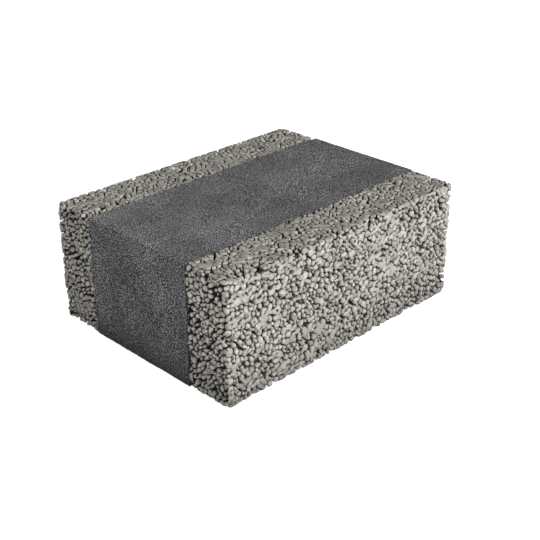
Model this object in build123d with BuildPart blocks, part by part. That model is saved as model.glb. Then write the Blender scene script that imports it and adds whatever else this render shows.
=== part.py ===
"""Insulated building block: two leaves of lightweight-aggregate concrete with a rigid foam core bonded between them.

X runs along the wall, Y runs through it and Z is up. The origin is the middle of the underside.
"""

import os

from build123d import *

# Driving dimensions of the block, in millimetres
block_length = 490.0  # along the wall
block_height = 195.0  # one course without its bed joint

# Layers through the wall, from the front to the back
front_leaf_thickness = 83.0
core_thickness = 214.0
back_leaf_thickness = 83.0

# Edges
leaf_arris_radius = 4.0  # cast edges, rounded by about half a grain of the aggregate
core_edge_radius = 1.0  # cut edges of the foam

# Planes between the layers
block_width = front_leaf_thickness + core_thickness + back_leaf_thickness
front_face_y = -block_width / 2
front_bond_y = front_face_y + front_leaf_thickness
back_bond_y = front_bond_y + core_thickness
back_face_y = back_bond_y + back_leaf_thickness


def cast_leaf(face_y, bond_y):
    """A concrete leaf from its open face to the face that the core is bonded to, with every free edge rounded."""
    with BuildPart() as leaf:
        with BuildSketch(Plane.XY):
            with Locations((0, (face_y + bond_y) / 2)):
                Rectangle(block_length, abs(bond_y - face_y))
        extrude(amount=block_height)
        bonded_face = leaf.faces().sort_by_distance((0, bond_y, block_height / 2)).first
        fillet(leaf.edges() - bonded_face.edges(), radius=leaf_arris_radius)
    return leaf


# Front leaf
front_leaf = cast_leaf(front_face_y, front_bond_y)
front_leaf.part.label = "front_leaf"

# Insulation core, flush with the leaves at its ends, top and underside
with BuildPart() as insulation_core:
    with BuildSketch(Plane.XY):
        with Locations((0, (front_bond_y + back_bond_y) / 2)):
            Rectangle(block_length, core_thickness)
    extrude(amount=block_height)
    fillet(insulation_core.edges().filter_by(Axis.Y), radius=core_edge_radius)
insulation_core.part.label = "insulation_core"

# Back leaf
back_leaf = cast_leaf(back_face_y, back_bond_y)
back_leaf.part.label = "back_leaf"

# One file for each layer
os.makedirs("parts", exist_ok=True)
for layer in (front_leaf, insulation_core, back_leaf):
    export_step(layer.part, f"parts/{layer.part.label}.step")
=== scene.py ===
"""Looks of the insulated block: two concrete leaves of fused clay grains, a foam core and a plain studio.

The scene is in metres, as the frame is. Inside the classes of the leaves and the core a length is in
millimetres.
"""

import logging
import math
from dataclasses import dataclass
from enum import Enum, IntEnum
from itertools import combinations

import bpy
import numpy as np
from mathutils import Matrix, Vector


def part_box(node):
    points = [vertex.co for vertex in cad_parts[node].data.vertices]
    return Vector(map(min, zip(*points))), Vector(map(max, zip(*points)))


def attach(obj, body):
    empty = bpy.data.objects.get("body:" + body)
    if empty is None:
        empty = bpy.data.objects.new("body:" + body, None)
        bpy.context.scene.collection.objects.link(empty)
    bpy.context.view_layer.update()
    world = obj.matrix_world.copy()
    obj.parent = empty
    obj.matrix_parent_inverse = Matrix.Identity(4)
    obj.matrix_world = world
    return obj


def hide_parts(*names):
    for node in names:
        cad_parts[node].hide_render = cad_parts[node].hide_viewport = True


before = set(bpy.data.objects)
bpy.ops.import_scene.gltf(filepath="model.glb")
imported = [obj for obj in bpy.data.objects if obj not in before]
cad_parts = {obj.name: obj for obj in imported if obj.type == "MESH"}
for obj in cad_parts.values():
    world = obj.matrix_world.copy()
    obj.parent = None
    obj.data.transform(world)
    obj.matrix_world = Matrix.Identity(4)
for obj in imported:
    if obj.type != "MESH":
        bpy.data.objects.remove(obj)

import openvdb
from mathutils import Vector

LOG = logging.getLogger("insulated_block")

MM = 0.001
TINY = 1e-6  # keeps a division away from zero
NOISE_MIDDLE = 0.5  # mean of Blender's noise
WHITE = (1.0, 1.0, 1.0, 1.0)

Color = tuple[float, float, float]
Socket = bpy.types.NodeSocket


class MixSocket(IntEnum):
    """Numbers of the sockets that a Mix node blends colours with, since their names repeat."""

    SHARE = 0
    FIRST = 6
    SECOND = 7
    RESULT = 2


class NodeSheet:
    """Adds nodes to one node tree and joins their sockets."""

    def __init__(self, tree: bpy.types.NodeTree) -> None:
        """Start on the tree with nothing in it."""
        self.tree = tree
        tree.nodes.clear()

    def add(self, kind: str, inputs: dict | None = None, **settings: object) -> bpy.types.Node:
        """Add one node.

        Args:
            kind: Blender's name for the type of node.
            inputs: what goes into each input: a socket is linked, and a plain value is set.
            settings: the node's own properties.

        Returns:
            The new node.
        """
        node = self.tree.nodes.new(kind)
        for name, value in settings.items():
            setattr(node, name, value)
        for name, value in (inputs or {}).items():
            if isinstance(value, Socket):
                self.tree.links.new(value, node.inputs[name])
            else:
                node.inputs[name].default_value = value
        return node

    def attribute(self, name: str) -> Socket:
        """Read a number that is stored on the mesh."""
        return self.add("ShaderNodeAttribute", attribute_name=name).outputs["Fac"]

    def place(self) -> Socket:
        """Read the place on the object."""
        return self.add("ShaderNodeTexCoord").outputs["Object"]

    def math(self, operation: str, first: Socket | float, second: Socket | float) -> Socket:
        """Add a Math node.

        Args:
            operation: Blender's name for the sum.
            first: the first number.
            second: the second number.

        Returns:
            The result.
        """
        return self.add("ShaderNodeMath", {0: first, 1: second}, operation=operation).outputs["Value"]

    def ramp(self, value: Socket, low: float, high: float, at_low: float, at_high: float) -> Socket:
        """Turn one range of numbers into another, with soft ends.

        Args:
            value: the number to turn.
            low: where the range starts.
            high: where the range ends.
            at_low: the result at the start.
            at_high: the result at the end.

        Returns:
            The result.
        """
        inputs = {"Value": value, "From Min": low, "From Max": high, "To Min": at_low, "To Max": at_high}
        return self.add("ShaderNodeMapRange", inputs, interpolation_type="SMOOTHSTEP").outputs["Result"]

    def blend(self, share: Socket, first: Socket | tuple, second: Socket | tuple) -> Socket:
        """Blend two colours.

        Args:
            share: how much of the second colour shows.
            first: the colour at a share of 0.
            second: the colour at a share of 1.

        Returns:
            The blended colour.
        """
        inputs = {MixSocket.SHARE: share, MixSocket.FIRST: first, MixSocket.SECOND: second}
        return self.add("ShaderNodeMix", inputs, data_type="RGBA").outputs[MixSocket.RESULT]

    def shade(self, color: Socket | Color, factor: Socket) -> Socket:
        """Scale a colour by a number.

        Args:
            color: the colour.
            factor: what it is multiplied by.

        Returns:
            The scaled colour.
        """
        inputs = {0: color, "Scale": factor}
        return self.add("ShaderNodeVectorMath", inputs, operation="SCALE").outputs["Vector"]

    def matt_surface(
        self, color: Socket, height: Socket, relief: float, roughness: float, specular: float
    ) -> None:
        """Add a matt shader with fine relief and make it what the material shows.

        Args:
            color: its colour.
            height: the relief, about 0.
            relief: how high the relief is, in millimetres.
            roughness: its roughness.
            specular: how much it shines.
        """
        bump = {"Height": height, "Strength": 1.0, "Distance": relief * MM}
        shader = {
            "Base Color": color,
            "Roughness": roughness,
            "Specular IOR Level": specular,
            "Normal": self.add("ShaderNodeBump", bump).outputs["Normal"],
        }
        surface = self.add("ShaderNodeBsdfPrincipled", shader).outputs["BSDF"]
        self.add("ShaderNodeOutputMaterial", {"Surface": surface})


def new_group(name: str, inputs: tuple[str, ...], outputs: tuple[str, ...]) -> bpy.types.ShaderNodeTree:
    """Make an empty shader node group for numbers.

    Args:
        name: the group's name.
        inputs: the names of the numbers that it takes.
        outputs: the names of the numbers that it gives.

    Returns:
        The group.
    """
    tree = bpy.data.node_groups.new(name, "ShaderNodeTree")
    for side, sockets in (("INPUT", inputs), ("OUTPUT", outputs)):
        for socket in sockets:
            tree.interface.new_socket(socket, in_out=side, socket_type="NodeSocketFloat")
    return tree


class SurfaceEffect(Enum):
    """A shader node group that both finishes use, with the noise detail that it is drawn with."""

    SPECKLE = ("fine_speckle", 4.0, 0.62)
    BLOTCH = ("soft_blotch", 2.0, 0.45)

    def group(self) -> bpy.types.ShaderNodeTree:
        """Find the group, or build it the first time.

        Returns:
            The node group, which turns a frequency and a strength into a tone about 1 and a height about 0.
        """
        name, detail, roughness = self.value
        if name in bpy.data.node_groups:
            return bpy.data.node_groups[name]
        tree = new_group(name, ("Frequency", "Strength"), ("Tone", "Height"))
        sheet = NodeSheet(tree)
        given = sheet.add("NodeGroupInput").outputs
        noise = {
            "Vector": sheet.place(),
            "Scale": given["Frequency"],
            "Detail": detail,
            "Roughness": roughness,
        }
        pattern = sheet.add("ShaderNodeTexNoise", noise).outputs["Fac"]
        height = sheet.math("SUBTRACT", pattern, NOISE_MIDDLE)
        tone = sheet.math("ADD", sheet.math("MULTIPLY", height, given["Strength"]), 1.0)
        sheet.add("NodeGroupOutput", {"Tone": tone, "Height": height})
        return tree

    def put_in(self, sheet: NodeSheet, size: float, strength: Socket | float) -> bpy.types.NodeOutputs:
        """Put the group into a material.

        Args:
            sheet: the material's nodes.
            size: the size of a spot, in millimetres.
            strength: how far the tone swings.

        Returns:
            The group's outputs, Tone and Height.
        """
        inputs = {"Frequency": 1 / (size * MM), "Strength": strength}
        return sheet.add("ShaderNodeGroup", inputs, node_tree=self.group()).outputs


@dataclass(frozen=True)
class FootShade:
    """Painted shade towards the floor, which shuts out light near it: a shader node group that both finishes
    use.
    """

    reach: float  # height where it ends, in millimetres
    strength: float  # how much of the light is lost at the floor
    name: str = "foot_shade"

    def group(self) -> bpy.types.ShaderNodeTree:
        """Find the group, or build it the first time.

        Returns:
            The node group, which turns a reach and a strength into a tone of 1 or less.
        """
        if self.name in bpy.data.node_groups:
            return bpy.data.node_groups[self.name]
        tree = new_group(self.name, ("Reach", "Strength"), ("Tone",))
        sheet = NodeSheet(tree)
        given = sheet.add("NodeGroupInput").outputs
        height = sheet.add("ShaderNodeSeparateXYZ", {"Vector": sheet.place()}).outputs["Z"]
        risen = sheet.math("MINIMUM", sheet.math("DIVIDE", height, given["Reach"]), 1.0)
        near = sheet.math("SUBTRACT", 1.0, risen)
        dark = sheet.math("MULTIPLY", sheet.math("MULTIPLY", near, near), given["Strength"])
        sheet.add("NodeGroupOutput", {"Tone": sheet.math("SUBTRACT", 1.0, dark)})
        return tree

    def put_in(self, sheet: NodeSheet) -> Socket:
        """Put the group into a material and give its tone."""
        inputs = {"Reach": self.reach * MM, "Strength": self.strength}
        return sheet.add("ShaderNodeGroup", inputs, node_tree=self.group()).outputs["Tone"]


@dataclass(frozen=True)
class ConcreteFinish:
    """Matt cement-grey clay grains, each a little lighter or darker than the next, with shade painted into
    the crevices.
    """

    slot: str = "aggregate_concrete"
    grain: Color = (0.545, 0.523, 0.476)
    skin: Color = (0.425, 0.406, 0.360)  # cement paste rubbed over the top
    # near-black colour of the shade that is painted into the crevices
    crevice: Color = (0.012, 0.0115, 0.010)
    crevice_contrast: float = 0.9  # above 1 the shade starts nearer to the bottom of a crevice
    grain_contrast: float = 0.30  # lightest grain against the darkest
    speckle_size: float = 2.2
    speckle_strength: float = 2.2
    blotch_size: float = 60.0
    blotch_strength: float = 0.20
    relief: float = 0.9  # height of the pores on a grain
    foot: FootShade = FootShade(reach=110.0, strength=0.40)
    roughness: float = 0.93
    specular: float = 0.08

    def material(self) -> bpy.types.Material:
        """Build the finish.

        Returns:
            The material, which reads the attributes crevice, skin and tone of the mesh that wears it.
        """
        material = bpy.data.materials.new("fused_clay_grains")
        material.use_nodes = True
        sheet = NodeSheet(material.node_tree)
        speckle = SurfaceEffect.SPECKLE.put_in(sheet, self.speckle_size, self.speckle_strength)
        blotch = SurfaceEffect.BLOTCH.put_in(sheet, self.blotch_size, self.blotch_strength)
        crest = sheet.blend(sheet.attribute("skin"), (*self.grain, 1.0), (*self.skin, 1.0))
        # painted shade: the crevices are blended towards a near-black colour
        painted_shade = sheet.math("POWER", sheet.attribute("crevice"), self.crevice_contrast)
        color = sheet.blend(painted_shade, crest, (*self.crevice, 1.0))
        half = self.grain_contrast / 2
        grain_tone = sheet.ramp(sheet.attribute("tone"), 0.0, 1.0, 1 - half, 1 + half)
        for factor in (grain_tone, speckle["Tone"], blotch["Tone"], self.foot.put_in(sheet)):
            color = sheet.shade(color, factor)
        sheet.matt_surface(color, speckle["Height"], self.relief, self.roughness, self.specular)
        return material


@dataclass(frozen=True)
class FoamFinish:
    """Dark grey rigid foam with fine light cell walls and soft cloudy patches."""

    slot: str = "foam_insulation"
    color: Color = (0.085, 0.085, 0.086)
    speckle_size: float = 1.85
    speckle_strength: float = 32.0
    sawn_strength: float = 48.0  # of the speckle on the sawn ends
    end_shade: float = 0.72  # painted shade: how dark the ends are, which the lamps light less than the top
    blotch_size: float = 75.0
    blotch_strength: float = 1.6
    relief: float = 0.5  # height of the cell walls
    foot: FootShade = FootShade(reach=78.0, strength=0.88)
    roughness: float = 0.85
    specular: float = 0.25

    def material(self) -> bpy.types.Material:
        """Build the finish.

        Returns:
            The material, which reads the attribute end_face of the mesh that wears it.
        """
        material = bpy.data.materials.new("dark_rigid_foam")
        material.use_nodes = True
        sheet = NodeSheet(material.node_tree)
        end_face = sheet.attribute("end_face")
        strength = sheet.ramp(end_face, 0.0, 1.0, self.speckle_strength, self.sawn_strength)
        speckle = SurfaceEffect.SPECKLE.put_in(sheet, self.speckle_size, strength)
        blotch = SurfaceEffect.BLOTCH.put_in(sheet, self.blotch_size, self.blotch_strength)
        # painted shade: the ends are darkened, as the lamps light them less than the top
        color = sheet.shade(self.color, sheet.ramp(end_face, 0.0, 1.0, 1.0, self.end_shade))
        for factor in (speckle["Tone"], blotch["Tone"], self.foot.put_in(sheet)):
            color = sheet.shade(color, factor)
        sheet.matt_surface(color, speckle["Height"], self.relief, self.roughness, self.specular)
        return material


class MouldFace(Enum):
    """A mould face of a leaf: the axis that it closes, and whether it is at that axis's far end.

    The axes are the leaf's own: 0 along the wall, 1 from the open face inwards and 2 up.
    """

    NEAR_END = (0, False)
    FAR_END = (0, True)
    OPEN_FACE = (1, False)
    BED = (2, False)
    TOP = (2, True)

    @property
    def axis(self) -> int:
        """Give the axis that the face closes."""
        return self.value[0]

    @property
    def far(self) -> bool:
        """Tell whether the face is at its axis's far end."""
        return self.value[1]

    def depth(self, along: np.ndarray, size: np.ndarray) -> np.ndarray:
        """Turn places along this face's axis into depths under the face, or depths into places."""
        return size[self.axis] - along if self.far else along


@dataclass(frozen=True, kw_only=True)
class Press:
    """How a mould face pressed the grains under it."""

    shallow_share: float  # a grain's least depth, as a share of its radius
    deep_share: float  # its greatest depth before any recess, as a share of its radius
    edge_share: float = 0.0  # how much deeper it lies at an edge, as a share of its radius
    recess: float  # mean further depth, in millimetres
    unevenness: float  # how far the face wanders inwards, in millimetres
    smear: float  # thickness of the cement paste that was rubbed over the grains, in millimetres
    joint: float  # how far the joints between touching grains are open, in millimetres
    width: float  # how quickly they close to both sides, in millimetres
    crevice_shade_gain: float  # shade painted into its crevices, more where the lamps light less
    mass: float  # depth where the solid mass behind the grains starts, in millimetres


CAST = Press(
    shallow_share=0.45, deep_share=0.90, recess=1.8, unevenness=0.25, smear=0.22,
    joint=1.1, width=0.8, crevice_shade_gain=0.93, mass=7.5,
)
CUT_OFF = Press(
    shallow_share=0.55, deep_share=1.05, recess=3.5, unevenness=0.25, smear=0.0,
    joint=2.6, width=0.9, crevice_shade_gain=2.4, mass=8.0,
)
TAMPED = Press(
    shallow_share=-0.15, deep_share=0.30, edge_share=0.45, recess=0.35, unevenness=0.10, smear=0.36,
    joint=4.2, width=1.4, crevice_shade_gain=2.6, mass=7.5,
)
BEDDED = Press(
    shallow_share=0.45, deep_share=0.85, recess=0.7, unevenness=0.30, smear=0.10,
    joint=1.6, width=0.8, crevice_shade_gain=1.0, mass=3.0,
)

PRESSES: dict[MouldFace, Press] = {
    MouldFace.NEAR_END: CUT_OFF,
    MouldFace.FAR_END: CUT_OFF,
    MouldFace.OPEN_FACE: CAST,
    MouldFace.BED: BEDDED,
    MouldFace.TOP: TAMPED,
}


@dataclass(frozen=True)
class Arris:
    """How the grains along an edge are rounded off."""

    radius: float
    least_share: float  # least depth of a grain inside it, as a share of the grain's radius


@dataclass
class GrainBed:
    """The clay grains that lie near a leaf's open faces, settled one by one where there is room."""

    size: np.ndarray  # the leaf's length, thickness and height
    rng: np.random.Generator
    radii: tuple[float, ...] = (5.0, 4.6, 4.1, 3.6, 3.1, 2.7, 2.4)  # from the coarsest grain to the finest
    face_tries: int = 2200  # for the coarsest grains
    backing_tries: int = 900
    fine_power: float = 3.5  # how quickly the tries grow as the grains get finer
    edge_radii: tuple[float, ...] = (4.5, 4.0, 3.6, 3.2, 2.8)  # of the grains that close the edges
    edge_tries: int = 400
    edge_shares: tuple[float, float] = (0.8, 1.6)  # their depths under both faces, as shares of the radius
    top_arris: Arris = Arris(radius=4.2, least_share=0.64)
    worn_arris: Arris = Arris(radius=7.0, least_share=0.75)  # of the edges that the tamper doesn't reach
    raggedness: float = 0.10  # how much further in a grain at an edge may lie
    edge_calm: float = 0.85  # how much less a grain is recessed at an edge
    edge_fade: float = 5.0  # how quickly that wears off
    backing_depths: tuple[float, float] = (7.0, 14.0)
    closeness_share: float = 0.80  # of a grain's radius that has to be free of its neighbours
    cell: float = 1.0  # pitch of the map of free room
    room: float = 12.0  # free room where there is no grain yet
    clump_cell: float = 4.0  # pitch of the map of clumps
    clump_pitch: float = 24.0  # distance between clumps
    clump_gain: float = 2.2  # how much deeper the grains between clumps lie

    def __post_init__(self) -> None:
        """Start with an empty leaf and draw where the clumps will be."""
        self.centres: list[np.ndarray] = []
        self.sizes: list[float] = []
        self.free = np.full(np.ceil(self.size / self.cell).astype(int) + 1, self.room, np.float32)
        clumps = tuple(np.ceil(self.size / self.clump_cell).astype(int) + 1)
        self.clumps = smooth_noise(self.rng, clumps, self.clump_pitch / self.clump_cell)
        self.edges = [pair for pair in combinations(PRESSES, 2) if pair[0].axis != pair[1].axis]

    def fill(self) -> None:
        """Settle the grains under the faces, those that close the edges, and then those behind."""
        for radius in self.radii:
            self.settle(self.face_spots(radius), radius)
        for radius in self.edge_radii:
            self.settle(self.edge_spots(radius), radius)
        for radius in self.radii:
            self.settle(self.backing_spots(radius), radius)

    def face_spots(self, radius: float) -> np.ndarray:
        """Draw spots just under the mould faces, as many for each as its area asks.

        Args:
            radius: the radius of the grains to settle there.

        Returns:
            The spots, in a chance order.
        """
        drawn = []
        for face, count in self.shared_out(self.face_tries, radius).items():
            spots = self.rng.random((count, len(self.size))) * self.size
            self.put_under(spots, face, radius)
            drawn.append(spots)
        return self.shuffled(drawn, radius)

    def edge_spots(self, radius: float) -> np.ndarray:
        """Draw spots along the edges where two mould faces meet.

        Args:
            radius: the radius of the grains to settle there.

        Returns:
            The spots, in a chance order.
        """
        drawn = []
        for pair in self.edges:
            spots = self.rng.random((self.edge_tries, len(self.size))) * self.size
            for face in pair:
                shares = self.rng.uniform(*self.edge_shares, len(spots))
                spots[:, face.axis] = face.depth(shares * radius, self.size)
            drawn.append(spots)
        return self.shuffled(drawn, radius)

    def backing_spots(self, radius: float) -> np.ndarray:
        """Draw spots behind the outermost grains, which show through the gaps between those.

        Args:
            radius: the radius of the grains to settle there.

        Returns:
            The spots, in a chance order.
        """
        drawn = []
        for face, count in self.shared_out(self.backing_tries, radius).items():
            spots = self.rng.random((count, len(self.size))) * self.size
            depths = self.rng.uniform(*self.backing_depths, count)
            spots[:, face.axis] = face.depth(depths, self.size)
            drawn.append(spots)
        return self.shuffled(drawn, radius)

    def shared_out(self, tries: int, radius: float) -> dict[MouldFace, int]:
        """Share tries out among the mould faces by their areas, more of them for finer grains.

        Args:
            tries: how many there are for the coarsest grains.
            radius: the grains' radius.

        Returns:
            The number of tries for each face.
        """
        total = int(tries * (self.radii[0] / radius) ** self.fine_power)
        areas = {face: self.size.prod() / self.size[face.axis] for face in PRESSES}
        return {face: int(total * area / sum(areas.values())) for face, area in areas.items()}

    def put_under(self, spots: np.ndarray, face: MouldFace, radius: float) -> None:
        """Move spots to chance depths under a face, deeper between the clumps.

        Args:
            spots: the spots, which are changed.
            face: the mould face.
            radius: the radius of the grains to settle there.
        """
        press = PRESSES[face]
        count = len(spots)
        spots[:, face.axis] = face.depth(np.zeros(count), self.size)
        clump = self.clumps[tuple(np.rint(spots / self.clump_cell).astype(int).T)]
        recess = self.rng.exponential(press.recess, count) * np.maximum(1 + self.clump_gain * clump, 0)
        shares = self.rng.uniform(press.shallow_share, press.deep_share, count)
        others = [other for other in PRESSES if other.axis != face.axis]
        depths = [other.depth(spots[:, other.axis], self.size) for other in others]
        edge = np.exp(-np.min(depths, axis=0) / self.edge_fade)
        recess *= 1 - self.edge_calm * edge
        shares += press.edge_share * edge
        spots[:, face.axis] = face.depth(shares * radius + recess, self.size)

    def shuffled(self, drawn: list[np.ndarray], radius: float) -> np.ndarray:
        """Put all the drawn spots inside the mould and in a chance order."""
        return self.rng.permutation(self.kept_inside(np.concatenate(drawn), radius))

    def kept_inside(self, spots: np.ndarray, radius: float) -> np.ndarray:
        """Fold spots inwards where they are nearer to a mould face than its press allows.

        Args:
            spots: the spots.
            radius: the radius of the grains to settle there.

        Returns:
            The folded spots.
        """
        for face, press in PRESSES.items():
            least = press.shallow_share * radius
            depth = least + np.abs(face.depth(spots[:, face.axis], self.size) - least)
            spots[:, face.axis] = face.depth(depth, self.size)
        for pair in self.edges:
            self.round_off(spots, pair, radius)
        return np.clip(spots, 0, self.size)

    def round_off(self, spots: np.ndarray, pair: tuple[MouldFace, MouldFace], radius: float) -> None:
        """Pull spots in from the edge between two mould faces.

        Args:
            spots: the spots, which are changed.
            pair: the mould faces.
            radius: the radius of the grains to settle there.
        """
        arris = self.top_arris if MouldFace.TOP in pair else self.worn_arris
        depths = np.stack([face.depth(spots[:, face.axis], self.size) for face in pair])
        out = np.maximum(arris.radius - depths, 0)
        far = np.hypot(*out)
        ragged = self.rng.uniform(1 - self.raggedness, 1, len(spots))
        most = (arris.radius - arris.least_share * radius) * ragged
        corner = (out.min(0) > 0) & (far > most)
        depths[:, corner] = arris.radius - out[:, corner] * (most / np.maximum(far, TINY))[corner]
        for face, depth in zip(pair, depths):
            spots[:, face.axis] = face.depth(depth, self.size)

    def settle(self, spots: np.ndarray, radius: float) -> None:
        """Settle a grain on each spot that still has room for it.

        Args:
            spots: the spots, in the order in which they are tried.
            radius: the grains' radius.
        """
        cells = np.rint(spots / self.cell).astype(int)
        needed = self.closeness_share * radius
        for spot, cell in zip(spots, cells):
            if self.free[tuple(cell)] >= needed:
                self.centres.append(spot)
                self.sizes.append(radius)
                self.mark(spot, radius)

    def mark(self, centre: np.ndarray, radius: float) -> None:
        """Take the room of a settled grain off the map.

        Args:
            centre: the grain's centre.
            radius: its radius.
        """
        reach = radius + self.radii[0]
        low = np.maximum(np.floor((centre - reach) / self.cell).astype(int), 0)
        high = np.minimum(np.ceil((centre + reach) / self.cell).astype(int) + 1, self.free.shape)
        x, y, z = (np.arange(a, b) * self.cell - c for a, b, c in zip(low, high, centre))
        distance = np.sqrt(x[:, None, None] ** 2 + y[:, None] ** 2 + z**2) - radius
        block = tuple(slice(a, b) for a, b in zip(low, high))
        np.minimum(self.free[block], distance, out=self.free[block])


def smooth_noise(rng: np.random.Generator, shape: tuple[int, ...], pitch: float) -> np.ndarray:
    """Draw a smooth field of chance numbers: a cubic spline over lumps of chance height.

    Args:
        rng: the source of chance.
        shape: the field's size in voxels.
        pitch: the distance between the lumps, in voxels.

    Returns:
        The field, with a mean near 0 and a spread of 1.
    """
    spline_reach = 4  # lumps that each voxel feels
    lumps = rng.standard_normal([int(n / pitch) + spline_reach for n in shape]).astype(np.float32)
    for count in shape:
        at = np.arange(count) / pitch
        base = at.astype(int)
        t = at - base
        weights = np.zeros((lumps.shape[0], count), np.float32)
        spline = ((1 - t) ** 3, 3 * t**3 - 6 * t**2 + 4, -3 * t**3 + 3 * t**2 + 3 * t + 1, t**3)
        for step, weight in enumerate(spline):
            weights[base + step, np.arange(count)] = weight / 6
        lumps = np.tensordot(lumps, weights, (0, 0))  # the finished axis goes to the end
    return lumps / lumps.std()


def box_blur(values: np.ndarray, width: int) -> np.ndarray:
    """Average a field over a cube round each voxel.

    Args:
        values: the field.
        width: the cube's side in voxels, an odd number.

    Returns:
        The averaged field.
    """
    for axis in range(values.ndim):
        pad = [(0, 0)] * values.ndim
        pad[axis] = (width // 2 + 1, width // 2)
        total = np.cumsum(np.pad(values, pad, mode="edge"), axis=axis, dtype=np.float64)
        count = values.shape[axis]
        ahead = np.take(total, np.arange(width, width + count), axis=axis)
        behind = np.take(total, np.arange(count), axis=axis)
        values = ((ahead - behind) / width).astype(np.float32)
    return values


def mesh_from(name: str, points: np.ndarray, faces: np.ndarray) -> bpy.types.Mesh:
    """Make a mesh from arrays.

    Args:
        name: the mesh's name.
        points: one row for each vertex.
        faces: one row of vertex numbers for each face, all with as many corners.

    Returns:
        The mesh.
    """
    mesh = bpy.data.meshes.new(name)
    mesh.vertices.add(len(points))
    mesh.vertices.foreach_set("co", points.astype(np.float32).ravel())
    mesh.loops.add(faces.size)
    mesh.loops.foreach_set("vertex_index", faces.astype(np.int32).ravel())
    mesh.polygons.add(len(faces))
    mesh.polygons.foreach_set("loop_start", np.arange(0, faces.size, faces.shape[1], dtype=np.int32))
    mesh.update(calc_edges=True)
    mesh.validate()
    return mesh


def vertex_places(mesh: bpy.types.Mesh) -> np.ndarray:
    """Read where a mesh's vertices are.

    Args:
        mesh: the mesh.

    Returns:
        One row for each vertex.
    """
    places = np.empty(len(mesh.vertices) * 3, np.float32)
    mesh.vertices.foreach_get("co", places)
    return places.reshape(-1, 3)


def store(mesh: bpy.types.Mesh, name: str, values: np.ndarray) -> None:
    """Store a number on each vertex of a mesh, for its finish to read."""
    mesh.attributes.new(name, "FLOAT", "POINT").data.foreach_set("value", values.astype(np.float32))


def largest_shell(points: np.ndarray, faces: np.ndarray) -> tuple[np.ndarray, np.ndarray]:
    """Drop every shell of a mesh but the largest, such as closed pores and loose crumbs.

    Args:
        points: one row for each vertex.
        faces: one row of vertex numbers for each face.

    Returns:
        The vertices and faces of the largest shell.
    """
    shell = np.arange(len(points))
    while True:
        lowest = shell.copy()
        np.minimum.at(lowest, faces.ravel(), np.repeat(shell[faces].min(axis=1), faces.shape[1]))
        lowest = lowest[lowest]
        if np.array_equal(lowest, shell):
            break
        shell = lowest
    kept = shell == np.bincount(shell).argmax()
    number = np.cumsum(kept) - 1
    return points[kept], number[faces[kept[faces[:, 0]]]]


class Facing(Enum):
    """The side of the wall that a leaf's open face looks to, as a sign along Y."""

    FRONT = -1
    BACK = 1


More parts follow.
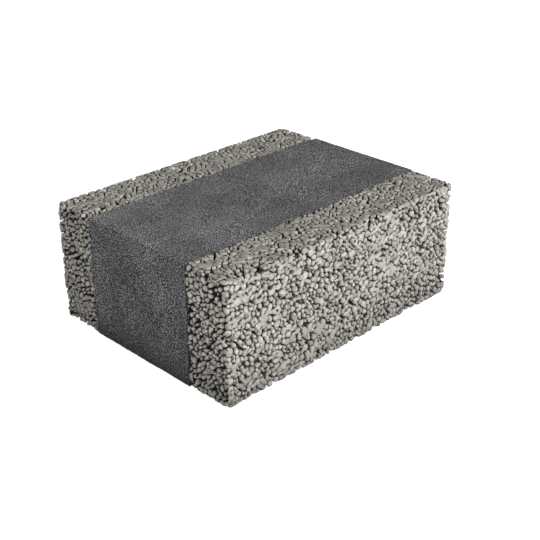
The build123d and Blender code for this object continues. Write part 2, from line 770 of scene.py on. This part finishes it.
@dataclass
class ConcreteLeaf:
    """One leaf: a dense mass of fused grains that is flat where the core is bonded to it.

    It is built as a field of voxels, each of which holds how far it lies outside the leaf.
    """

    node: str
    facing: Facing
    seed: int
    finish: bpy.types.Material
    voxel: float = 1.2
    margin: int = 4  # empty voxels round the leaf
    band: int = 3  # voxels on both sides of the surface that it is drawn from
    flat_merging: float = 0.05  # how readily flat neighbours become one face
    triangles: int = 194000
    stretch: float = 0.34  # how far a grain's axes differ from its radius
    reach: float = 3.5  # how far from a grain its surface counts
    joint_pitch: float = 7.0  # distance between fused clusters of grains
    joint_mean: float = 0.4  # share of the joints that is open in the mean
    joint_swing: float = 0.75  # how much that differs between the clusters
    joint_depth: float = 7.5  # where the joints between grains end
    least_width: float = 0.5  # of a joint
    mass_unevenness: float = 1.2
    edge_reach: float = 8.0  # how far from an edge the grains are packed more closely
    edge_closing: float = 0.6  # how much of the joints is closed at an edge
    edge_backing: float = 5.8  # how much further out the solid mass comes at an edge
    lumps: tuple[tuple[float, float], ...] = ((8.0, 0.50), (4.2, 0.52), (2.6, 0.28))  # pitch and height
    wander_pitch: float = 4.2  # distance between the dents of a mould face
    smear_depth: float = 3.0  # how deep the rubbed paste goes
    smear_pitch: float = 8.0  # distance between thick patches of it
    smear_swing: float = 0.5  # how much thicker they are
    rim: float = 9.0  # how far from the core the paste gets thin
    rim_share: float = 0.15  # what is left of it at the core
    arris: float = 4.0  # radius of the mould's edges
    arris_softness: float = 1.0  # how far a pressed facet's rim is rounded
    crowding_widths: tuple[float, ...] = (3.6, 6.0)  # cubes that the share of solid is taken over
    open_crowding: float = 0.38  # share of solid round a point on an open crest
    deep_crowding: float = 0.58  # share of solid round a point in a crevice
    crevice_depth: float = 2.6  # how far under the mould face the shade painted into a crevice is full
    skin_depth: float = 3.0  # how far under the top the colour of its skin goes
    bare_power: float = 1.3  # above 1 fewer grains lose their skin

    def __post_init__(self) -> None:
        """Take the leaf's size from its solid and lay out the voxels under the mould faces."""
        low, high = (np.array(corner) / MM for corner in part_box(self.node))
        self.size = high - low
        self.middle = (low + high) / 2
        self.rng = np.random.default_rng(self.seed)
        counts = np.ceil(self.size / self.voxel).astype(int) + 2 * self.margin + 1
        self.axes = [(np.arange(n, dtype=np.float32) - self.margin) * self.voxel for n in counts]
        self.shape = tuple(int(n) for n in counts)
        self.unders = {face: self.face_depth(face) for face in PRESSES}
        self.near = {
            face: np.exp(-np.maximum(under, 0) / self.smear_depth) for face, under in self.unders.items()
        }

    def add(self) -> bpy.types.Object:
        """Build the leaf, dress it and let it stand for its solid.

        Returns:
            The new piece.
        """
        bed = GrainBed(self.size, self.rng)
        bed.fill()
        field, owner = self.distance_field(bed)
        mesh = self.meshed(field)
        self.mark_surface(mesh, field, owner)
        self.place(mesh)
        piece = bpy.data.objects.new(f"{self.node}_grains", mesh)
        bpy.context.scene.collection.objects.link(piece)
        mesh.materials.append(self.finish)
        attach(piece, "root")
        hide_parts(self.node)
        LOG.info("%s: %d grains, %d triangles", piece.name, len(bed.sizes), len(mesh.polygons))
        return piece

    def face_depth(self, face: MouldFace) -> np.ndarray:
        """Work out how deep the voxels lie under a mould face.

        Args:
            face: the mould face.

        Returns:
            The depths, in a shape that spreads over the field.
        """
        spread = [1] * len(self.axes)
        spread[face.axis] = -1
        return face.depth(self.axes[face.axis], self.size).astype(np.float32).reshape(spread)

    def noise(self, pitch: float) -> np.ndarray:
        """Draw smooth noise over the voxels, with lumps at a pitch in millimetres."""
        return smooth_noise(self.rng, self.shape, pitch / self.voxel)

    def distance_field(self, bed: GrainBed) -> tuple[np.ndarray, np.ndarray]:
        """Work out how far each voxel lies outside the leaf.

        Args:
            bed: the settled grains.

        Returns:
            The distances, which are negative inside the leaf, and the number of the nearest grain.
        """
        nearest, second, owner = self.nearest_grains(bed)
        depth, edge = self.depth_and_edge()
        field = self.with_joints(nearest, second, depth, edge)
        field = np.minimum(field, self.solid_mass(edge))
        for pitch, height in self.lumps:
            field += height * self.noise(pitch)
        self.smear(field)
        field = self.without_hidden_pores(field)
        wander = np.abs(self.noise(self.wander_pitch))
        field = self.soft_cut(field, self.outside_mould(wander))
        bonded = (self.axes[1] - self.size[1])[:, None]
        return np.maximum(field, bonded), owner

    def nearest_grains(self, bed: GrainBed) -> tuple[np.ndarray, np.ndarray, np.ndarray]:
        """Work out how far each voxel lies outside the grains.

        Args:
            bed: the settled grains.

        Returns:
            The distances from the nearest grain and from the one after it, and the nearest grain's number.
        """
        nearest = np.full(self.shape, self.reach, np.float32)
        second = nearest.copy()
        owner = np.zeros(self.shape, np.int16)
        for number, (centre, radius) in enumerate(zip(bed.centres, bed.sizes)):
            block, distance = self.grain_distance(centre, radius)
            before = nearest[block]
            closer = distance < before
            second[block] = np.where(closer, before, np.minimum(second[block], distance))
            nearest[block] = np.where(closer, distance, before)
            owner[block][closer] = number
        return nearest, second, owner

    def grain_distance(self, centre: np.ndarray, radius: float) -> tuple[tuple[slice, ...], np.ndarray]:
        """Work out how far the voxels round a grain lie outside it.

        Args:
            centre: the grain's centre.
            radius: its radius.

        Returns:
            The block of voxels round the grain, and their distances from it.
        """
        reach = radius * (1 + self.stretch) + self.reach
        block = []
        for axis, middle in zip(self.axes, centre):
            low, high = np.searchsorted(axis, (middle - reach, middle + reach))
            block.append(slice(low, high))
        turn, _ = np.linalg.qr(self.rng.standard_normal((3, 3)))
        squeeze = 1 / (radius * self.rng.uniform(1 - self.stretch, 1 + self.stretch, 3))
        form = (turn * squeeze).astype(np.float32)
        origin = centre.astype(np.float32)
        x, y, z = (axis[part] - start for axis, part, start in zip(self.axes, block, origin))
        offset = [x[:, None, None] * along[0] + y[:, None] * along[1] + z * along[2] for along in form.T]
        ratio = np.sqrt(offset[0] ** 2 + offset[1] ** 2 + offset[2] ** 2)
        return tuple(block), (ratio - 1) * radius

    def depth_and_edge(self) -> tuple[np.ndarray, np.ndarray]:
        """Work out how deep the voxels lie under the nearest mould face, and how near to an edge.

        Returns:
            The depths, and the nearness: 1 at an edge and 0 beyond its reach.
        """
        depth = np.full(self.shape, self.size.max(), np.float32)
        from_edge = depth.copy()
        for axis in range(len(self.shape)):
            unders = [under for face, under in self.unders.items() if face.axis == axis]
            under = np.broadcast_to(np.minimum.reduce(unders), self.shape)
            from_edge = np.minimum(from_edge, np.maximum(depth, under))
            depth = np.minimum(depth, under)
        return depth, np.clip(1 - from_edge / self.edge_reach, 0, 1)

    def with_joints(
        self, nearest: np.ndarray, second: np.ndarray, depth: np.ndarray, edge: np.ndarray
    ) -> np.ndarray:
        """Open the joints where two grains are equally near.

        Args:
            nearest: the distances from the nearest grain.
            second: the distances from the one after it.
            depth: the depths under the nearest mould face.
            edge: the nearness to an edge.

        Returns:
            The distances outside the jointed grains.
        """
        total = sum(self.near.values()) + TINY
        joint = sum(PRESSES[face].joint * share for face, share in self.near.items()) / total
        width = sum(PRESSES[face].width * share for face, share in self.near.items()) / total
        joint = joint * (self.joint_mean + self.joint_swing * self.noise(self.joint_pitch))
        joint *= np.clip(1 - depth / self.joint_depth, 0, 1) * (1 - self.edge_closing * edge)
        apart = (nearest - second) / np.maximum(width, self.least_width)
        return nearest + np.maximum(joint, 0) * np.exp(apart)

    def solid_mass(self, edge: np.ndarray) -> np.ndarray:
        """Work out how far each voxel lies outside the solid mass behind the grains.

        Args:
            edge: the nearness to an edge, where the mass comes further out.

        Returns:
            The distances.
        """
        mass = np.full(self.shape, -self.size.max(), np.float32)
        for face, under in self.unders.items():
            np.maximum(mass, PRESSES[face].mass - under, out=mass)
        mass += self.mass_unevenness * self.noise(self.joint_pitch)
        return mass - self.edge_backing * edge

    def smear(self, field: np.ndarray) -> None:
        """Rub cement paste over the grains in uneven patches, less of it at the core and at the edges.

        Args:
            field: the distances outside the leaf, which are changed.
        """
        patchy = 1 + self.smear_swing * self.noise(self.smear_pitch)
        patchy = patchy * np.clip((self.size[1] - self.axes[1]) / self.rim, self.rim_share, 1)[:, None]
        for face, share in self.near.items():
            for other in PRESSES:
                if other.axis != face.axis:
                    share = share * (1 - self.near[other])
            field -= PRESSES[face].smear * patchy * share

    def without_hidden_pores(self, field: np.ndarray) -> np.ndarray:
        """Close the pores that can't be seen straight on from any mould face.

        Args:
            field: the distances outside the leaf.

        Returns:
            The distances outside the leaf with those pores filled.
        """
        closed = np.full_like(field, -self.size.max())
        for face in PRESSES:
            seen = np.flip(field, face.axis) if face.far else field
            swept = np.minimum.accumulate(seen, axis=face.axis)
            np.maximum(closed, np.flip(swept, face.axis) if face.far else swept, out=closed)
        return closed

    def outside_mould(self, wander: np.ndarray) -> np.ndarray:
        """Work out how far each voxel lies outside the mould, whose edges are rounded.

        Args:
            wander: how unevenly the faces lie, about 1 in the mean.

        Returns:
            The distances, which are negative inside the mould.
        """
        squares = np.zeros_like(wander)
        for axis in range(wander.ndim):
            shallow = np.full_like(wander, self.arris)
            for face, under in self.unders.items():
                if face.axis == axis:
                    np.minimum(shallow, under - PRESSES[face].unevenness * wander, out=shallow)
            squares += (self.arris - shallow) ** 2
        return np.sqrt(squares) - self.arris

    def soft_cut(self, field: np.ndarray, outside: np.ndarray) -> np.ndarray:
        """Cut the leaf off at a face and round the rims that this leaves.

        Args:
            field: the distances outside the leaf.
            outside: the distances outside the face.

        Returns:
            The distances outside the leaf that is left.
        """
        near = np.maximum(self.arris_softness - np.abs(field - outside), 0)
        return np.maximum(field, outside) + near**2 / (4 * self.arris_softness)

    def meshed(self, field: np.ndarray) -> bpy.types.Mesh:
        """Turn the field into a mesh of triangles, in the leaf's own axes.

        Args:
            field: the distances outside the leaf.

        Returns:
            The mesh.
        """
        band = self.band * self.voxel
        grid = openvdb.FloatGrid(band)
        grid.copyFromArray(np.clip(field, -band, band))
        points, triangles, quads = grid.convertToPolygons(0.0, self.flat_merging)
        faces = np.concatenate([triangles, quads[:, [0, 1, 2]], quads[:, [0, 2, 3]]])
        points, faces = largest_shell(points, faces)
        dense = mesh_from(self.node, (points - self.margin) * self.voxel, faces)
        holder = bpy.data.objects.new(self.node + "_dense", dense)
        bpy.context.scene.collection.objects.link(holder)
        fewer = holder.modifiers.new("fewer", "DECIMATE")
        fewer.ratio = self.triangles / len(faces)
        fewer.use_collapse_triangulate = True
        solid = holder.evaluated_get(bpy.context.evaluated_depsgraph_get())
        mesh = bpy.data.meshes.new_from_object(solid)
        bpy.data.objects.remove(holder)
        bpy.data.meshes.remove(dense)
        inside = np.clip(vertex_places(mesh), 0, self.size).astype(np.float32)
        mesh.vertices.foreach_set("co", inside.ravel())
        mesh.shade_smooth()
        return mesh

    def mark_surface(self, mesh: bpy.types.Mesh, field: np.ndarray, owner: np.ndarray) -> None:
        """Store on each vertex the shade painted into its crevice, how much skin it has and the tone of its
        grain.

        Args:
            mesh: the leaf's mesh, in the leaf's own axes.
            field: the distances outside the leaf.
            owner: the number of the grain nearest to each voxel.
        """
        places = vertex_places(mesh)
        at = tuple(np.rint(places / self.voxel).astype(int).T + self.margin)
        depths = np.stack([face.depth(places[:, face.axis], self.size) for face in PRESSES])
        nearest_face = depths.argmin(0)
        # painted shade in the crevices: it grows with the solid round a place, its depth and its face's gain
        span = self.deep_crowding - self.open_crowding
        crowded = np.clip((self.crowding(field, places, at) - self.open_crowding) / span, 0, 1)
        sunk = np.clip(depths.min(0) / self.crevice_depth, 0, 1)
        crevice_shade_gain = np.array([press.crevice_shade_gain for press in PRESSES.values()])[nearest_face]
        crevice = np.clip(crevice_shade_gain * crowded * sunk * (2 - sunk), 0, 1)
        skin = np.clip(1 - MouldFace.TOP.depth(places[:, 2], self.size) / self.skin_depth, 0, 1)
        tones = self.rng.random(int(owner.max()) + 1)
        bare = self.rng.random(len(tones)) ** self.bare_power
        store(mesh, "crevice", crevice)
        store(mesh, "tone", tones[owner[at]])
        store(mesh, "skin", skin * (1 - bare[owner[at]]))

    def crowding(self, field: np.ndarray, places: np.ndarray, at: tuple[np.ndarray, ...]) -> np.ndarray:
        """Work out how crowded with solid the surroundings of places on the surface are.

        Args:
            field: the distances outside the leaf.
            places: the places.
            at: the numbers of their voxels along each axis.

        Returns:
            The share of solid round each place, as if the leaf went on beyond its edges.
        """
        bonded = int(round(self.size[1] / self.voxel)) + self.margin
        solid = (field < 0).astype(np.float32)
        solid[:, bonded:] = 1  # the core fills the far side
        filled = [(axis >= 0) & (axis <= length) for axis, length in zip(self.axes, self.size)]
        filled = [line.astype(np.float32) for line in filled]
        filled[1][bonded:] = 1
        for width in self.crowding_widths:
            cube = 2 * int(width / self.voxel / 2) + 1
            solid = box_blur(solid, cube)
            filled = [box_blur(line, cube) for line in filled]
        shares = np.stack([line[index] for line, index in zip(filled, at)])
        depths = np.stack([self.least_depth(places, axis) for axis in range(len(at))])
        beside = shares.prod(0) / shares[depths.argmin(0), np.arange(len(places))]
        return np.minimum(solid[at] / beside, 1)

    def least_depth(self, places: np.ndarray, axis: int) -> np.ndarray:
        """Work out how deep places lie under the nearest mould face across one axis."""
        depths = [face.depth(places[:, axis], self.size) for face in PRESSES if face.axis == axis]
        return np.min(depths, axis=0)

    def place(self, mesh: bpy.types.Mesh) -> None:
        """Turn the mesh from the leaf's own axes to the frame's, in metres.

        Args:
            mesh: the leaf's mesh, which is changed.
        """
        places = vertex_places(mesh) - self.size / 2
        places[:, :2] *= -self.facing.value
        mesh.vertices.foreach_set("co", ((places + self.middle) * MM).astype(np.float32).ravel())
        mesh.update()


@dataclass
class FoamCore:
    """The foam slab between the leaves, with a fine rough skin and softly rounded cut edges."""

    node: str
    seed: int
    finish: bpy.types.Material
    pitch: float = 1.9
    edge_radius: float = 1.2
    edge_step: float = 22.5  # degrees between the points round an edge
    sharp_angle: float = 60.0  # degrees above which an edge isn't shaded smooth
    seam_fade: int = 8  # grid steps over which the lumps fade out at the seam
    lumps: tuple[tuple[float, float], ...] = ((3.8, 0.22), (30.0, 0.30))  # pitch and height

    def __post_init__(self) -> None:
        """Take the slab's size from its solid."""
        self.low, self.high = (np.array(corner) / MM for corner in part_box(self.node))
        self.rng = np.random.default_rng(self.seed)

    def add(self) -> bpy.types.Object:
        """Build the slab, dress it and let it stand for its solid.

        Returns:
            The new piece.
        """
        mesh = self.meshed()
        piece = bpy.data.objects.new("foam_core", mesh)
        bpy.context.scene.collection.objects.link(piece)
        mesh.materials.append(self.finish)
        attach(piece, "root")
        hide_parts(self.node)
        LOG.info("%s: %d faces", piece.name, len(mesh.polygons))
        return piece

    def meshed(self) -> bpy.types.Mesh:
        """Wrap a grid round the slab and close it with a flat face on each bonded side.

        Returns:
            The mesh.
        """
        size = self.high - self.low
        outline = self.outline(size[0], size[2])
        across = np.linspace(0, size[1], int(size[1] / self.pitch) + 1)
        shape = (len(outline), len(across))
        points = np.empty((*shape, 3), np.float32)
        points[:, :, [0, 2]] = outline[:, None, :2]
        points[:, :, 1] = across
        sunk = sum(
            height * np.abs(self.wrapped_noise(shape, pitch / self.pitch)) for pitch, height in self.lumps
        )
        points[:, :, [0, 2]] -= sunk[:, :, None] * outline[:, None, 2:]
        number = np.arange(len(outline) * len(across)).reshape(shape)
        after = np.roll(number, -1, axis=0)
        quads = np.stack([number[:, :-1], number[:, 1:], after[:, 1:], after[:, :-1]], -1).reshape(-1, 4)
        ends = [number[:, 0].tolist(), number[::-1, -1].tolist()]
        places = (points.reshape(-1, 3) + self.low) * MM
        mesh = bpy.data.meshes.new(self.node)
        mesh.from_pydata(places.tolist(), [], quads.tolist() + ends)
        mesh.validate()
        mesh.shade_smooth()
        mesh.set_sharp_from_angle(angle=math.radians(self.sharp_angle))
        # 1 on the end faces, which the finish speckles more strongly and darkens with painted shade
        store(mesh, "end_face", np.repeat(np.abs(outline[:, 2]), len(across)))
        return mesh

    def outline(self, length: float, height: float) -> np.ndarray:
        """Walk round the slab's section along the wall, with rounded corners.

        Args:
            length: the section's length.
            height: the section's height.

        Returns:
            One row for each point: its place and its outward direction.
        """
        radius = self.edge_radius
        quarter_turn = 90.0
        rows = []
        corners = [(length, 0), (length, height), (0, height), (0, 0)]
        for quarter, (x, z) in enumerate(corners):
            middle = np.array([abs(x - radius), abs(z - radius)])
            start = quarter_turn * (quarter - 1)
            for turn in np.radians(start + np.arange(0, quarter_turn, self.edge_step)):
                out = np.array([np.cos(turn), np.sin(turn)])
                rows.append(np.concatenate([middle + radius * out, out]))
            turn = np.radians(start + quarter_turn)
            out = np.array([np.cos(turn), np.sin(turn)])
            along = np.array([-out[1], out[0]])
            span = (length if quarter % 2 else height) - 2 * radius
            steps = int(span / self.pitch)
            for step in range(steps):
                rows.append(np.concatenate([middle + radius * out + along * span * step / steps, out]))
        return np.array(rows, np.float32)

    def wrapped_noise(self, shape: tuple[int, int], pitch: float) -> np.ndarray:
        """Draw smooth noise over the wrapped grid.

        Args:
            shape: the grid's size.
            pitch: the distance between the lumps, in grid steps.

        Returns:
            The noise, which fades out where the grid meets itself.
        """
        noise = smooth_noise(self.rng, shape, pitch)
        row = np.arange(shape[0])
        fade = np.clip(np.minimum(row, row[::-1]) / self.seam_fade, 0, 1)
        return noise * fade[:, None]


@dataclass(frozen=True)
class StudioLamp:
    """A round soft lamp, near enough for the block's far side to be a little darker."""

    name: str
    azimuth: float  # degrees from -Y towards +X
    elevation: float
    distance: float  # from the block, in metres
    diameter: float
    level: float  # what a white surface that faces it shows

    def add(self, target: Vector) -> None:
        """Hang the lamp.

        Args:
            target: the point that it looks at.
        """
        data = bpy.data.lights.new(self.name, "AREA")
        data.shape = "DISK"
        data.size = self.diameter
        data.energy = self.level * math.pi**2 * (self.distance**2 + (self.diameter / 2) ** 2)
        lamp = bpy.data.objects.new(self.name, data)
        lamp.location = target + self.distance * direction(self.azimuth, self.elevation)
        lamp.rotation_euler = (lamp.location - target).to_track_quat("Z", "Y").to_euler()
        lamp.visible_camera = False
        bpy.context.scene.collection.objects.link(lamp)


def direction(azimuth: float, elevation: float) -> Vector:
    """Point from the block towards a camera or lamp.

    Args:
        azimuth: degrees from -Y towards +X.
        elevation: degrees above the floor.

    Returns:
        The direction, of length 1.
    """
    turn, rise = math.radians(azimuth), math.radians(elevation)
    return Vector((math.sin(turn) * math.cos(rise), -math.cos(turn) * math.cos(rise), math.sin(rise)))


def neutral(level: float) -> tuple[float, float, float, float]:
    """Give the neutral grey of a level, as a colour with its alpha."""
    return (level, level, level, 1.0)


@dataclass(frozen=True)
class Studio:
    """A pale floor, soft lamps, an even sky and the camera."""

    sky: float = 0.10
    floor_white: float = 0.72  # light of its own that the camera sees the floor with, near the block
    white_from: float = 0.9  # distance where the floor starts to turn white
    white_to: float = 2.4  # distance where it is white all over
    floor_grey: float = 1.0  # how much of the light the camera sees on it
    floor_bounce: float = 0.15  # how much light the floor gives back to the block
    floor_side: float = 60.0
    floor_drop: float = 0.0005
    camera_azimuth: float = -44.95
    camera_elevation: float = 26.91
    camera_distance: float = 1.579
    camera_target: tuple[float, float, float] = (-0.0400, -0.0642, 0.0974)
    lens: float = 68.9
    sensor: float = 36.0
    lamp_target: tuple[float, float, float] = (0.0, 0.0, 0.1)
    lamps: tuple[StudioLamp, ...] = (
        StudioLamp("key_lamp", azimuth=22.0, elevation=20.0, distance=2.4, diameter=1.5, level=0.885),
        StudioLamp("fill_lamp", azimuth=-64.0, elevation=22.0, distance=1.6, diameter=0.8, level=0.47),
        StudioLamp("back_lamp", azimuth=162.0, elevation=9.0, distance=2.6, diameter=1.2, level=0.70),
    )

    def add(self) -> None:
        """Set up the whole studio."""
        bpy.context.scene.view_settings.view_transform = "Standard"
        self.add_floor()
        self.add_sky()
        for lamp in self.lamps:
            lamp.add(Vector(self.lamp_target))
        self.add_camera()

    def add_camera(self) -> None:
        """Set up the camera as the photograph was taken."""
        data = bpy.data.cameras.new("camera")
        data.lens = self.lens
        data.sensor_width = self.sensor
        target = Vector(self.camera_target)
        camera = bpy.data.objects.new("camera", data)
        outward = direction(self.camera_azimuth, self.camera_elevation)
        camera.location = target + self.camera_distance * outward
        camera.rotation_euler = (camera.location - target).to_track_quat("Z", "Y").to_euler()
        bpy.context.scene.collection.objects.link(camera)
        bpy.context.scene.camera = camera

    def seen(self, sheet: NodeSheet) -> Socket:
        """Tell the rays that see the background from those that light the block.

        Args:
            sheet: the nodes of the floor or the sky.

        Returns:
            1 for a ray that sees the background, and 0 for one that brings light.
        """
        path = sheet.add("ShaderNodeLightPath").outputs
        straight = sheet.math("MAXIMUM", path["Is Camera Ray"], path["Is Glossy Ray"])
        return sheet.math("MAXIMUM", straight, path["Is Transmission Ray"])

    def add_floor(self) -> None:
        """Lay the floor, which is white but for the block's shadow."""
        half = self.floor_side / 2
        corners = [(-half, -half), (half, -half), (half, half), (-half, half)]
        points = np.array([(x, y, -self.floor_drop) for x, y in corners])
        floor = bpy.data.objects.new("floor", mesh_from("floor", points, np.array([[0, 1, 2, 3]])))
        bpy.context.scene.collection.objects.link(floor)
        material = bpy.data.materials.new("pale_floor")
        material.use_nodes = True
        sheet = NodeSheet(material.node_tree)
        seen = self.seen(sheet)
        color = sheet.blend(seen, neutral(self.floor_bounce), neutral(self.floor_grey))
        grey = sheet.add("ShaderNodeBsdfDiffuse", {"Color": color}).outputs["BSDF"]
        far = sheet.add("ShaderNodeVectorMath", {0: sheet.place()}, operation="LENGTH").outputs["Value"]
        level = sheet.ramp(far, self.white_from, self.white_to, self.floor_white, 1.0)
        glow = {"Color": WHITE, "Strength": sheet.math("MULTIPLY", seen, level)}
        white = sheet.add("ShaderNodeEmission", glow).outputs["Emission"]
        both = sheet.add("ShaderNodeAddShader", {0: grey, 1: white}).outputs["Shader"]
        sheet.add("ShaderNodeOutputMaterial", {"Surface": both})
        floor.data.materials.append(material)

    def add_sky(self) -> None:
        """Light the scene evenly from above, with a white background."""
        world = bpy.data.worlds.new("even_sky")
        world.use_nodes = True
        sheet = NodeSheet(world.node_tree)
        spread = sheet.math("MULTIPLY", self.seen(sheet), 1 - self.sky)
        strength = sheet.math("ADD", spread, self.sky)
        light = sheet.add("ShaderNodeBackground", {"Color": WHITE, "Strength": strength})
        sheet.add("ShaderNodeOutputWorld", {"Surface": light.outputs["Background"]})
        bpy.context.scene.world = world


def main() -> None:
    """Build the studio, the leaves and the core."""
    logging.basicConfig(level=logging.INFO, format="%(name)s: %(message)s")
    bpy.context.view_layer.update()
    Studio().add()
    concrete = ConcreteFinish().material()
    foam = FoamFinish().material()
    ConcreteLeaf("front_leaf", Facing.FRONT, seed=11, finish=concrete).add()
    ConcreteLeaf("back_leaf", Facing.BACK, seed=23, finish=concrete).add()
    FoamCore("insulation_core", seed=37, finish=foam).add()


if __name__ == "__main__":
    main()
